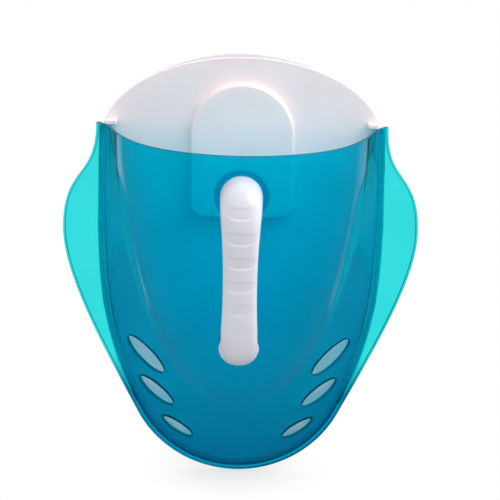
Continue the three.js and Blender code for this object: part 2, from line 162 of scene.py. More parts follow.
# Handle, a bow whose lower foot ends in a lip on the front half
FOOT_RADIUS = 17.4
FOOT_OVERHANG = 0.8
GRIP_HALF_WIDTH = 13.8
GRIP_THICKNESS = 19.0
GRIP_REACH = 186.0
GRIP_POWER = 3.0
UPPER_FOOT_POWER = 2.0
LOWER_FOOT_POWER = 2.3
UPPER_BOW_POWER = 4.0
LOWER_BOW_POWER = 2.2
FOOT_STEP = 1.8
FOOT_FADE = 4
FOOT_LIP = 4.5
LIP_EDGE = 0.6
LIP_SWELL = 1.6
LIP_EASE = 6.0
PARTING_ROUND = 0.45
PARTING_FADE = 0.4
HANDLE_MIDDLE = (UPPER_SEAT + LOWER_SEAT) / 2
HANDLE_SPAN = (UPPER_SEAT - LOWER_SEAT) / 2

# Dishes for the fingers; the profile gives the depth's share at shares of the length
DISH_TOP = UPPER_SEAT - 4.2
DISH_PITCH = 19.8
DISH_LENGTH = 10.5
DISH_ARCH = 2.0
DISH_POWER = 2.6
DISH_LEVELLING = 0.8
DISH_STEEPEST = 0.2
DISH_DEPTHS = (1.5, 1.5, 1.35, 1.2, 0.95, 0.5)
DISH_PROFILE = ((0, 0.07, 0.86, 1), (0, 0.5, 1, 0))
DISH_EASING = 2

# Screws from inside the scoop into the handle; the head has fine rings over its cross recess
SCREW_RADIUS = 2.0
SCREW_LENGTH = 18.0
SCREW_POINT = 1.0
SCREW_TIP_RADIUS = 0.8
HEAD_RADIUS = 4.0
HEAD_HEIGHT = 2.6
HEAD_ROUND = 1.1
HEAD_FINE_SHARE = 0.62
HEAD_RING_SHARES = (0.7, 0.8, 0.9, 0.96, 1.0)
RECESS_HALF_WIDTH = 0.62
RECESS_SIDE = 0.2
RECESS_REACH = 2.1
RECESS_END = 0.3
RECESS_DEPTH = 1.3

# Wall bracket; the neck's root is (out from its side, depth)
BRACKET_HALF_WIDTH = 78.0
BRACKET_TOP_RADIUS = 170.0
BRACKET_FOOT = RIM_HEIGHT - 52.0
BRACKET_CORNER = 14.0
BRACKET_OVERHANG = 2.8
BRACKET_THICKNESS = 3.0
BRACKET_ROUND = 1.0
BRACKET_REAR_ROUND = 0.6
TONGUE_MIDDLE = RIM_HEIGHT - 6.0
TONGUE_ROUND = 0.8
TONGUE_REAR_ROUND = 0.5
NECK_STEP = 1.0
NECK_FILLET = 0.5
NECK_ROOT = ((0.0, 0.8), (0.25, 0.25), (0.8, 0.0))

# Adhesive pads; the edge is (in from the outline, back from the face)
PAD_WIDTH = 24.0
PAD_HEIGHT = 88.0
PAD_THICKNESS = 1.1
PAD_CORNER = 4.0
PAD_EDGE = ((0.3, 0.0), (0.05, 0.2))
PAD_PITCH = 50.0
MOUNT_HEIGHT = RIM_HEIGHT + 2.0
STAND_OFF = BRACKET_THICKNESS + CONTACT_GAP + PAD_THICKNESS

# Fineness of the meshes; an easing is its first column and its rounds
SIDE_ROWS = 84
FAN_ROWS = 128
RUN_COLUMNS = (1, 1, 6, 2, 2, 5, 26)
LEDGE_EASING = (sum(RUN_COLUMNS[:5]), 3)
BAND_EASING = (sum(RUN_COLUMNS[:6]) + 4, 4)
CROWN_COLUMNS = 110
CROWN_CROWDING = 0.25
CREASE_COLUMNS = 10
CREASE_SHARE = 0.05
HANDLE_ROWS = 640
HANDLE_COLUMNS = 46
SECTION_CROWDING = 0.4
RING_POINTS = 480
ROUND_POINTS = 96
FACE_SHARE = 0.6
HEAD_FINE_RINGS = 22
BLOCK_ROWS = 33
BLOCK_POINTS = 64
BLOCK_POWER = 0.22


# Places and small formulas

def frame_y(depth):
    """Metres along the frame's Y for a depth."""
    return -MILLIMETRE * (depth + STAND_OFF)


def frame_z(height):
    """Metres along the frame's Z for a height."""
    return MILLIMETRE * (height - MOUNT_HEIGHT)


def place(x, depth, height):
    """Metres in the part's frame for a place across, forward and up."""
    return np.stack(np.broadcast_arrays(MILLIMETRE * x, frame_y(depth), frame_z(height)), -1)


def smooth(share):
    """A soft step from 0 to 1."""
    share = np.clip(share, 0, 1)
    return share ** 2 * (3 - 2 * share)


def signed_power(value, power):
    """A power that keeps its value's sign."""
    return np.sign(value) * np.abs(value) ** power


def full_turn(count):
    """Evenly spaced angles once round."""
    return np.linspace(0, 2 * np.pi, count, endpoint=False)


# Meshes

def add_object(name, data):
    """A new object in the scene."""
    made = bpy.data.objects.new(name, data)
    bpy.context.scene.collection.objects.link(made)
    return made


def grid_faces(rows, columns):
    """Quads of a grid whose points are counted row by row, with its last column joined to the first."""
    start = np.arange(rows - 1)[:, None] * columns
    left = np.arange(columns)
    right = (left + 1) % columns
    corners = [start + left, start + right, start + columns + right, start + columns + left]
    return np.stack(corners, -1).reshape(-1, 4)


def make_piece(name, points, faces, material, body, node=None, sharp=40, edge=None):
    """A smooth closed mesh from points in metres and arrays of faces, doubles merged and faces outwards.

    Edges that turn by more than sharp, in degrees, stay crisp. The material edge, where given, goes on the
    last array of faces.
    """
    mesh = bpy.data.meshes.new(name)
    corners = [face for block in faces for face in block.tolist()]
    mesh.from_pydata(points.reshape(-1, 3).tolist(), [], corners)
    mesh.materials.append(material)
    if edge:
        mesh.materials.append(edge)
        rank = np.repeat(np.arange(len(faces)), [len(block) for block in faces])
        mesh.polygons.foreach_set("material_index", (rank == len(faces) - 1).astype(np.int32))
    sewn = bmesh.new()
    sewn.from_mesh(mesh)
    bmesh.ops.remove_doubles(sewn, verts=sewn.verts, dist=MILLIMETRE * MERGE_DISTANCE)
    if sewn.calc_volume(signed=True) < 0:
        bmesh.ops.reverse_faces(sewn, faces=sewn.faces)
    sewn.to_mesh(mesh)
    sewn.free()
    mesh.polygons.foreach_set("use_smooth", np.ones(len(mesh.polygons), bool))
    mesh.set_sharp_from_angle(angle=math.radians(sharp))
    piece = add_object(name, mesh)
    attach(piece, body)
    if node:
        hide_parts(node)


def ring_piece(name, rings, centre, material, body, node=None, sharp=40, x=0.0, count=RING_POINTS):
    """A piece of closed rings about a line along the depth, at x and the height of its centre.

    Each ring is (distance, depth). Both may change with the direction, which starts upwards.
    """
    turn = full_turn(count)
    distance, depth = (np.stack([np.broadcast_to(ring[k], turn.shape) for ring in rings]) for k in (0, 1))
    points = place(x + distance * np.sin(turn), depth, centre + distance * np.cos(turn))
    make_piece(name, points, [grid_faces(len(rings), count)], material, body, node, sharp)


def distances(outline, centre):
    """Distance from a middle point to a closed outline in each direction, read off by angle."""
    x, up = outline[:, 0], outline[:, 1] - centre
    return np.interp(full_turn(RING_POINTS), np.arctan2(x, up), np.hypot(x, up), period=2 * np.pi)


def rounding(distance, depth, radius, front, steps=5):
    """Rings of a quarter round at an outline's edge: from its face out to its side, or back for a rear."""
    turn = np.linspace(0, np.pi / 2, steps)
    sign = 1 if front else -1
    inwards, sunk = radius * (1 - np.sin(turn)), sign * radius * (1 - np.cos(turn))
    return [(distance - a, depth - b) for a, b in zip(inwards, sunk)][::sign]


# Outlines, as points in x and height

def bezier(a, b, c, d, count=600):
    """A cubic curve between two points, drawn towards two others."""
    t = np.linspace(0, 1, count)[:, None]
    a, b, c, d = (np.array(point) for point in (a, b, c, d))
    return (1 - t) ** 3 * a + 3 * (1 - t) ** 2 * t * b + 3 * (1 - t) * t ** 2 * c + t ** 3 * d


def arc(x, height, radius, start, end, count=480, tall=None):
    """An arc about a point between two angles in radians, oval where its height has a radius of its own."""
    turn = np.linspace(start, end, count)
    return np.stack([x + radius * np.cos(turn), height + (tall or radius) * np.sin(turn)], 1)


def closed(*runs, count=60):
    """Runs of points, each followed by a straight line to the next one's start."""
    parts = []
    for run, following in zip(runs, runs[1:] + runs[:1]):
        parts += [run, np.linspace(run[-1], following[0], count)]
    return np.concatenate(parts)


def tip_arc(radius):
    """Right half of the arc round the tip."""
    return arc(0, TIP_RADIUS, radius, -np.pi / 2, TIP_TURN - np.pi / 2)


def body_outline(inset):
    """Right half of the scoop's outline: a tip arc, then a curve up to the rim."""
    tip = tip_arc(TIP_RADIUS - FLANGE_WIDTH - inset)
    side = RIM_HALF_WIDTH - inset
    flare = tip[-1] + SIDE_FLARE * TIP_HEADING
    flank = bezier(tip[-1], flare, (side, RIM_HEIGHT - SIDE_DROP), (side, RIM_HEIGHT))
    return np.concatenate([tip, flank[1:]])


def fin_outline(inset):
    """Right half of the flange's outline: a tip arc, then a fin that swells and narrows to the rim."""
    tip = tip_arc(TIP_RADIUS - inset)
    side = RIM_HALF_WIDTH + FLANGE_WIDTH - inset
    widest = FIN_HALF_WIDTH - inset
    flare = tip[-1] + FIN_FLARE * TIP_HEADING
    lower = bezier(tip[-1], flare, (widest, FIN_HEIGHT - FIN_DROP), (widest, FIN_HEIGHT))
    rise = (widest, FIN_HEIGHT + FIN_RISE)
    upper = bezier(lower[-1], rise, (side, RIM_HEIGHT - FIN_TAPER), (side, RIM_HEIGHT))
    return np.concatenate([tip, lower[1:], upper[1:]])


def shoulder_outline(inset):
    """Right half of the line where band and crown meet: a quarter of an oval hung from the rim."""
    width, drop = SHOULDER_HALF_WIDTH - inset, SHOULDER_DROP - inset
    return arc(0, RIM_HEIGHT, width, -np.pi / 2, 0, count=900, tall=drop)


def rail(outline, stations):
    """Points of an outline at stations: 0 at the rim, 1 at the hub's height, then by angle about it to 2."""
    x, height = outline[::-1].T
    by_height = (RIM_HEIGHT - height) / (RIM_HEIGHT - HUB_HEIGHT)
    by_angle = 1 + np.arctan2(HUB_HEIGHT - height, x) / (np.pi / 2)
    station = np.where(height >= HUB_HEIGHT, by_height, by_angle)
    return np.stack([np.interp(stations, station, x), np.interp(stations, station, height)], 1)


def foot_corners(half_width, foot, radius):
    """The rounded lower corners of an upright outline, left then right."""
    middle = half_width - radius
    left = arc(-middle, foot + radius, radius, np.pi, 1.5 * np.pi, count=40)
    return left, arc(middle, foot + radius, radius, 1.5 * np.pi, 2 * np.pi, count=40)


def pocket_outline(inset):
    """The pocket: a round head over straight sides with rounded lower corners."""
    radius = POCKET_RADIUS - inset
    corners = foot_corners(radius, POCKET_FOOT + inset, POCKET_CORNER - inset)
    return closed(arc(0, NECK_HEIGHT, radius, 0, np.pi), *corners)


def arch_outline(radius, foot):
    """Tongue or neck: a round head over straight sides with a flat foot."""
    return closed(arc(0, NECK_HEIGHT, radius, 0, np.pi), [(-radius, foot)], [(radius, foot)])


def keyhole_outline():
    """The neck's slot above the tongue's wide entry."""
    slot, entry = NECK_RADIUS + FIT_GAP, TONGUE_RADIUS + ENTRY_MARGIN
    left = [(-slot, ENTRY_TOP), (-entry, ENTRY_TOP), (-entry, ENTRY_FOOT)]
    right = [(-x, height) for x, height in left[::-1]]
    return closed(arc(0, NECK_HEIGHT, slot, 0, np.pi), *([corner] for corner in left + right))


def panel_outline():
    """The panel fills the rebate up to its spring line and ends above the rim in a low arch."""
    flank = body_outline(PANEL_SIDE)
    flank = flank[flank[:, 1] < ARCH_SPRING]
    arch = arc(0, ARCH_SPRING, RIM_HALF_WIDTH - PANEL_SIDE, 0, np.pi, count=300, tall=ARCH_RISE)
    return np.concatenate([flank, arch, flank[::-1] * (-1, 1)])


def bracket_outline():
    """The bracket: an arc a little above the panel's arch, upright sides and rounded lower corners."""
    centre = ARCH_SPRING + ARCH_RISE + BRACKET_OVERHANG - BRACKET_TOP_RADIUS
    cut = math.acos(BRACKET_HALF_WIDTH / BRACKET_TOP_RADIUS)
    arch = arc(0, centre, BRACKET_TOP_RADIUS, cut, np.pi - cut, count=240)
    return closed(arch, *foot_corners(BRACKET_HALF_WIDTH, BRACKET_FOOT, BRACKET_CORNER))


def pad_outline():
    """A pad's rounded rectangle about its own middle."""
    x, up = PAD_WIDTH / 2 - PAD_CORNER, PAD_HEIGHT / 2 - PAD_CORNER
    corners = ((x, up, 0.0), (-x, up, 0.5), (-x, -up, 1.0), (x, -up, 1.5))
    return closed(*(
        arc(*spot, PAD_CORNER, half_turns * np.pi, (half_turns + 0.5) * np.pi, count=24)
        for *spot, half_turns in corners))


# Scoop shell

def crown_depth(height, inset=0.0):
    """Depth of the crown on its middle line: upright at the rim, then falling back faster and faster."""
    fall = (RIM_HEIGHT - height) / (SHOULDER_DROP - inset)
    return SHOULDER_DEPTH + (CROWN_DEPTH - inset) * (1 - fall ** CROWN_POWER)


def crown_reach(x, height):
    """Depth of the crown's outer face at a place: the oval section of that height's shoulder width."""
    width = SHOULDER_HALF_WIDTH * np.sqrt(1 - ((RIM_HEIGHT - height) / SHOULDER_DROP) ** 2)
    middle = SHOULDER_DEPTH - CROWN_SINK
    reach = crown_depth(height) - middle
    return middle + np.sqrt(reach ** 2 - (x / width) ** 2 * (reach ** 2 - CROWN_SINK ** 2))


def seat_face(height, radius):
    """Depth of a handle seat's flat face, just proud of the crown at its upper edge."""
    return crown_depth(height + radius) + SEAT_RISE


UPPER_FACE = seat_face(UPPER_SEAT, UPPER_SEAT_RADIUS)
LOWER_FACE = seat_face(LOWER_SEAT, FOOT_RADIUS - FOOT_OVERHANG)


def crown_grid(shoulder, inset):
    """The crown from the right shoulder to the left one as a grid of (x, depth, height).

    Each row is an oval section, spaced by angle and closer in the middle and at the shoulder. Just inside
    the shoulder it is drawn back a little, so that band and crown meet in a crease.
    """
    middle = SHOULDER_DEPTH - CROWN_SINK
    reach = (crown_depth(shoulder[:, 1], inset) - middle)[:, None]
    half_turn = np.arccos(np.minimum(1, CROWN_SINK / reach))
    crease = np.linspace(1, 1 - CREASE_SHARE, CREASE_COLUMNS, endpoint=False)
    inner = np.linspace(1 - CREASE_SHARE, CREASE_SHARE - 1, CROWN_COLUMNS + 1)
    even = np.concatenate([crease, inner, -crease[::-1]])
    turn = half_turn * ((1 - CROWN_CROWDING) * even + CROWN_CROWDING * even ** 3)
    across = even * np.ones_like(reach)
    swung = half_turn[:, 0] > TINY
    across[swung] = np.sin(turn[swung]) / np.sin(half_turn[swung])
    inwards = shoulder[:, :1] * (1 - np.abs(across)) / CREASE_WIDTH
    drop = CREASE_DROP * (reach - CROWN_SINK) / CROWN_DEPTH * inwards * np.exp(1 - inwards)
    depth = middle + reach * np.cos(turn) - drop
    return np.stack(np.broadcast_arrays(shoulder[:, :1] * across, depth, shoulder[:, 1:]), -1)


def skin(rows, inset, stations):
    """One face of the scoop's wall as a grid of (x, depth, height).

    At each station straight runs join the outlines of the flange, rebate, ledge and shoulder, and the crown
    crosses to the other side. The corners from the ledge on are then eased by averaging neighbouring
    columns again and again.
    """
    shoulder = rail(shoulder_outline(inset), stations)
    keys = [np.insert(rail(outline, stations), 1, depth, axis=1) for outline, depth in rows]
    keys.append(np.insert(shoulder, 1, SHOULDER_DEPTH, axis=1))
    runs = []
    for start, end, count in zip(keys, keys[1:], RUN_COLUMNS):
        share = (np.arange(count) / count)[:, None]
        runs.append(start[:, None] * (1 - share) + end[:, None] * share)
    right = np.concatenate(runs, axis=1)
    grid = np.concatenate([right, crown_grid(shoulder, inset), right[:, ::-1] * (-1, 1, 1)], axis=1)
    for first, rounds in (LEDGE_EASING, BAND_EASING):
        last = grid.shape[1] - first
        for _ in range(rounds):
            bend = grid[:, first - 1:last - 1] - 2 * grid[:, first:last] + grid[:, first + 1:last + 1]
            grid[:, first:last] += bend / 4
    return grid


def swell_seat(grid, height, radius, face):
    """Raises the wall to a round seat's flat face, falling off smoothly over the seat's edge."""
    distance = np.hypot(grid[..., 0], grid[..., 2] - height)
    share = smooth((radius + SEAT_EDGE / 2 - distance) / SEAT_EDGE)
    grid[..., 1] += share * np.maximum(0, face - grid[..., 1])


def slot_level(grid, x, height, length, width, turn):
    """1 on a turned oval's edge, less inside it."""
    turn = math.radians(turn)
    dx, up = grid[..., 0] - x, grid[..., 2] - height
    along = dx * math.cos(turn) + up * math.sin(turn)
    beside = up * math.cos(turn) - dx * math.sin(turn)
    return np.hypot(along / (length / 2), beside / (width / 2))


def pierce(outer, inner, kept, level):
    """Opens both skins where level is below 1.

    Cells with a point inside are dropped. Points just outside slide along grid lines, or else diagonals, to
    where the level is 1, by the same share in both skins.
    """
    inside = level < 1
    share = np.full(level.shape, np.inf)
    goal_outer, goal_inner = outer.copy(), inner.copy()
    for step in ((0, 1), (0, -1), (1, 0), (-1, 0), (1, 1), (1, -1), (-1, 1), (-1, -1)):
        ahead = np.roll(level, step, (0, 1))
        crossing = ~inside & (ahead < 1)
        reach = np.where(crossing, (level - 1) / np.where(crossing, level - ahead, 1), np.inf)
        better = reach < share if 0 in step else crossing & np.isinf(share)
        share[better] = reach[better]
        goal_outer[better] = np.roll(outer, step, (0, 1))[better]
        goal_inner[better] = np.roll(inner, step, (0, 1))[better]
    share = np.where(np.isinf(share), 0, share)[..., None]
    kept &= ~(inside[:-1, :-1] | inside[:-1, 1:] | inside[1:, :-1] | inside[1:, 1:])
    return outer + share * (goal_outer - outer), inner + share * (goal_inner - inner)


def close_wall(outer, inner, kept):
    """Joins two skins of one grid along every open edge by a rounded edge, and leaves out unused points.

    Along the first and last column, the flange's border, the edge is flatter. Edges of the rim and of holes
    come as the last array of faces, after those of the border. The last row is the tip's seam, whose right
    and left points fall together, so it needs no edge.
    """
    rows, columns = outer.shape[:2]
    count = rows * columns
    number = np.arange(count).reshape(rows, columns)
    quads = np.stack([number[:-1, :-1], number[:-1, 1:], number[1:, 1:], number[1:, :-1]], -1)
    framed = np.pad(kept, 1)
    framed[-1] = True
    beyond = (framed[:-2, 1:-1], framed[1:-1, 2:], framed[2:, 1:-1], framed[1:-1, :-2])
    open_cells = [quads[kept & ~side] for side in beyond]
    edges = np.concatenate([cells[:, [k, (k + 1) % 4]] for k, cells in enumerate(open_cells)])
    front, back = outer.reshape(-1, 3), inner.reshape(-1, 3)
    away = np.zeros_like(front)
    push = front[edges].mean(1) - front[np.concatenate(open_cells)].mean(1)
    np.add.at(away, edges[:, 0], push)
    np.add.at(away, edges[:, 1], push)
    used = np.unique(edges)
    across = back[used] - front[used]
    across /= np.linalg.norm(across, axis=1, keepdims=True)
    away = away[used] - across * (away[used] * across).sum(1, keepdims=True)
    away *= EDGE_SWELL / np.linalg.norm(away, axis=1, keepdims=True)
    away[np.isin(used % columns, (0, columns - 1))] *= FIN_EDGE_SHARE
    order = np.zeros(count, int)
    order[used] = np.arange(len(used))
    points, layers = [front, back], [edges]
    for k, share in enumerate(EDGE_STEPS):
        swell = math.sqrt(1 - (2 * share - 1) ** 2)
        points.append(front[used] * (1 - share) + back[used] * share + away * swell)
        layers.append(2 * count + k * len(used) + order[edges])
    layers.append(edges + count)
    bands = np.stack([np.concatenate([a[:, ::-1], b], axis=1) for a, b in zip(layers, layers[1:])])
    border = np.isin(edges % columns, (0, columns - 1)).all(1)
    cut = bands[:, ~border].reshape(-1, 4)
    faces = [quads[kept], quads[kept][:, ::-1] + count, bands[:, border].reshape(-1, 4), cut]
    needed, renumbered = np.unique(np.concatenate(faces), return_inverse=True)
    splits = np.cumsum([len(block) for block in faces])[:-1]
    return np.concatenate(points)[needed], np.split(renumbered.reshape(-1, 4), splits)


def scoop_shell(material, painted_edge_material):
    """The see-through wall: flange, fins, rebate, ledge, band and crown, pierced by six drain slots.

    Each of its rows is an outline and a depth of the outer skin, then of the inner skin.
    """
    stations = np.concatenate([np.linspace(0, 1, SIDE_ROWS, endpoint=False), np.linspace(1, 2, FAN_ROWS)])
    edge, bead, foot = (fin_outline(inset) for inset in (0, BEAD_WIDTH, BEAD_WIDTH + BEAD_SLOPE))
    outside, inside = body_outline(0), body_outline(WALL)
    ledge = LEDGE_DEPTH + (LEDGE_TIP_DEPTH - LEDGE_DEPTH) * smooth((stations - 1) / LEDGE_FLATTENING)
    upper_ledge = REBATE_DEPTH + (ledge - REBATE_DEPTH) / 3
    rows = (
        (edge, BEAD_DEPTH, edge, 0),
        (bead, BEAD_DEPTH, bead, 0),
        (foot, FLANGE_THICKNESS, foot, 0),
        (outside, FLANGE_THICKNESS, inside, 0),
        (outside, REBATE_DEPTH, inside, SEAT_DEPTH),
        (body_outline(LEDGE_WIDTH / 3), upper_ledge, body_outline(WALL + SEAT_WIDTH), SEAT_DEPTH),
        (body_outline(LEDGE_WIDTH), ledge, body_outline(WALL + LEDGE_WIDTH), ledge - WALL / 2),
    )
    outer = skin([row[:2] for row in rows], 0, stations)
    inner = skin([row[2:] for row in rows], WALL, stations)
    kept = np.ones((outer.shape[0] - 1, outer.shape[1] - 1), bool)
    for x, height, length, width, turn in DRAIN_SLOTS:
        for side in (1, -1):
            level = slot_level(outer, side * x, height, length, width, side * turn)
            outer, inner = pierce(outer, inner, kept, level)
    swell_seat(outer, UPPER_SEAT, UPPER_SEAT_RADIUS, UPPER_FACE)
    seat_holes = ((UPPER_SEAT, 2 * SCREW_RADIUS + FIT_GAP), (LOWER_SEAT, 2 * LOWER_SEAT_RADIUS - WALL))
    for height, across in seat_holes:
        outer, inner = pierce(outer, inner, kept, slot_level(outer, 0, height, across, across, 0))
    points, faces = close_wall(outer, inner, kept)
    # Rims and hole edges take the edge material: painted shade, an opaque deep teal for the clear wall's
    # dark edges
    make_piece("scoop_wall", place(*points.T), faces, material, "scoop", "scoop_shell",
               sharp=32, edge=painted_edge_material)


def lower_handle_seat(material):
    """A round cup for the handle's lower foot: a closed profile turned about the depth, set on the crown."""
    turn = full_turn(ROUND_POINTS)

    def crown(distance):
        return crown_reach(distance * np.sin(turn), LOWER_SEAT + distance * np.cos(turn))

    radius, face = LOWER_SEAT_RADIUS, LOWER_FACE
    hole, core, floor_depth = SCREW_RADIUS + FIT_GAP, radius - WALL, face - SEAT_FLOOR
    edge = [(radius - inwards, face - sunk) for inwards, sunk in SEAT_ROUND]
    lip = edge[0][1]
    rings = [(radius + out, np.minimum(crown(radius + out) + rise, lip)) for out, rise in SEAT_FILLET]
    rings += edge
    rings += [(hole + HOLE_CHAMFER, face), (hole, face - HOLE_CHAMFER), (hole, floor_depth)]
    rings += [(core - CORE_CORNER, floor_depth), (core, floor_depth - CORE_CORNER)]
    rings += [(core, np.minimum(crown(core) - WALL, floor_depth - CORE_CORNER - CORE_STEP))]
    rings += [(radius + SEAT_SKIRT, crown(radius + SEAT_SKIRT) - WALL / 2), rings[0]]
    ring_piece("lower_handle_seat", rings, LOWER_SEAT, material, "scoop",
               sharp=55, count=ROUND_POINTS)


def soft_blocks(name, blocks, material):
    """Small blocks with eased edges: each is a ball pushed out towards a box, turned about the depth.

    A block is (x, depth, height, half sizes across, forward and up, turn). The ball's poles are rounded to
    exact places, so that each closes in one point.
    """
    tilt = np.linspace(-np.pi / 2, np.pi / 2, BLOCK_ROWS)[:, None]
    turn = full_turn(BLOCK_POINTS)
    ball = np.broadcast_arrays(np.cos(tilt) * np.cos(turn), np.cos(tilt) * np.sin(turn), np.sin(tilt))
    unit = signed_power(np.round(ball, 9), BLOCK_POWER)
    points, faces = [], []
    for count, (x, depth, height, half, angle) in enumerate(blocks):
        along, forward, up = (size * axis for size, axis in zip(half, unit))
        across = along * math.cos(angle) - up * math.sin(angle)
        rise = along * math.sin(angle) + up * math.cos(angle)
        points.append(place(x + across, depth + forward, height + rise).reshape(-1, 3))
        faces.append(grid_faces(BLOCK_ROWS, BLOCK_POINTS) + count * BLOCK_ROWS * BLOCK_POINTS)
    make_piece(name, np.concatenate(points), faces, material, "scoop")


def panel_nibs(material):
    """Eight nibs on the rebate's wall, square to the outline, that the panel snaps past."""
    blocks = []
    outline = body_outline(WALL)
    half = (NIB_LENGTH / 2, NIB_DEPTH / 2, (NIB_REACH + NIB_ROOT) / 2)
    step = 0.01
    for station in NIB_STATIONS:
        before, here, after = rail(outline, np.array([station + step, station, station - step]))
        along = after - before
        angle = math.atan2(along[1], along[0])
        inwards = np.array([-math.sin(angle), math.cos(angle)]) * (NIB_REACH - NIB_ROOT) / 2
        for side in (1, -1):
            x, height = (here + inwards) * (side, 1)
            blocks.append((x, NIB_DEPTH / 2, height, half, side * angle))
    soft_blocks("panel_nibs", blocks, material)


# Back panel

def back_panel(material):
    """Rings about the pocket's middle: pocket face, its rounded edge and side, the field out to the rounded
    outline, then the rear in to the keyhole, through it and round the hollow pocket."""
    outlines = (pocket_outline(0), panel_outline(), keyhole_outline(), pocket_outline(POCKET_WALL))
    pocket, outline, keyhole, hollow = (distances(points, POCKET_MIDDLE) for points in outlines)
    crest = PANEL_FRONT + POCKET_RAISE
    ceiling = crest - POCKET_WALL
    foot = pocket + POCKET_DRAFT + POCKET_FILLET
    border = outline - PANEL_ROUND
    rings = [(share * (pocket - POCKET_ROUND), crest) for share in (0, 0.5, 0.9)]
    rings += rounding(pocket, crest, POCKET_ROUND, True, steps=6)
    for turn in np.linspace(0, np.pi / 2, num=6):
        rise = POCKET_FILLET * (1 - math.sin(turn))
        rings.append((foot - POCKET_FILLET * math.cos(turn), PANEL_FRONT + rise))
    rings += [(foot + share * (border - foot), PANEL_FRONT) for share in (0.2, 0.5, 0.8, 0.97)]
    rings += rounding(outline, PANEL_FRONT, PANEL_ROUND, True)
    rings += rounding(outline, PANEL_REAR, PANEL_ROUND, False)
    rings += [(keyhole + share * (outline - keyhole), PANEL_REAR) for share in (0.9, 0.5, 0.2)]
    rings += [(keyhole + KEYHOLE_CHAMFER, PANEL_REAR), (keyhole, PANEL_REAR + KEYHOLE_CHAMFER)]
    rings += [(keyhole, PANEL_FRONT), (hollow, PANEL_FRONT), (hollow, ceiling), (0, ceiling)]
    ring_piece("panel", rings, POCKET_MIDDLE, material, "scoop", "back_panel")


def rim_tabs(material):
    """Two tabs of the panel that reach over the rim's corners."""
    foot = RIM_HEIGHT + FIT_GAP
    share = (foot + TAB_HEIGHT - ARCH_SPRING) / ARCH_RISE
    x = (RIM_HALF_WIDTH - PANEL_SIDE) * math.sqrt(1 - share * share) - FIT_GAP - TAB_WIDTH / 2
    half = (TAB_WIDTH / 2, TAB_DEPTH / 2, TAB_HEIGHT / 2)
    blocks = [(side * x, TAB_FRONT - TAB_DEPTH / 2, foot + TAB_HEIGHT / 2, half, 0) for side in (-1, 1)]
    soft_blocks("rim_tabs", blocks, material)


# Handle

def bow_power(rise):
    """The bow is squarer above its middle than below."""
    return np.where(rise > 0, UPPER_BOW_POWER, LOWER_BOW_POWER)


def bow(rise, span, reach):
    """Side profile of the handle, half a superellipse on the seats; rise is 1 above, -1 below."""
    base = np.where(rise > 0, UPPER_FACE, LOWER_FACE) + FIT_GAP
    lift = np.maximum(0, 1 - np.abs(rise) ** bow_power(rise)) ** (1 / bow_power(rise))
    return np.stack([base + (reach - base) * lift, HANDLE_MIDDLE + span * rise], 1)


def finger_dishes(front, out, run, across, below):
    """How far six dishes sink into the front of the handle.

    Each drops from an arched upper border, deepens slowly downwards and comes up over its last seventh at
    an oval lower border. Where the bow leans, points below its crest are shifted along it, which keeps the
    borders nearly level.
    """
    sunk = np.zeros_like(across)
    oval = np.sqrt(np.maximum(TINY, 1 - np.abs(across) ** DISH_POWER))
    slope = out[:, 1] / np.maximum(out[:, 0], DISH_STEEPEST)
    for k, depth in enumerate(DISH_DEPTHS):
        top = DISH_TOP - k * DISH_PITCH + DISH_LENGTH / 2
        border, lean = (np.interp(-top, -front[:, 1], values) for values in (run[:, 0], slope))
        start = border + DISH_ARCH * (1 - oval)
        share = (run + DISH_LEVELLING * lean * below - start) / (DISH_LENGTH * oval)
        sunk += depth * oval * np.interp(share, *DISH_PROFILE)
    for _ in range(DISH_EASING):
        sunk[1:-1] = (sunk[:-2] + 2 * sunk[1:-1] + sunk[2:]) / 4
    return sunk


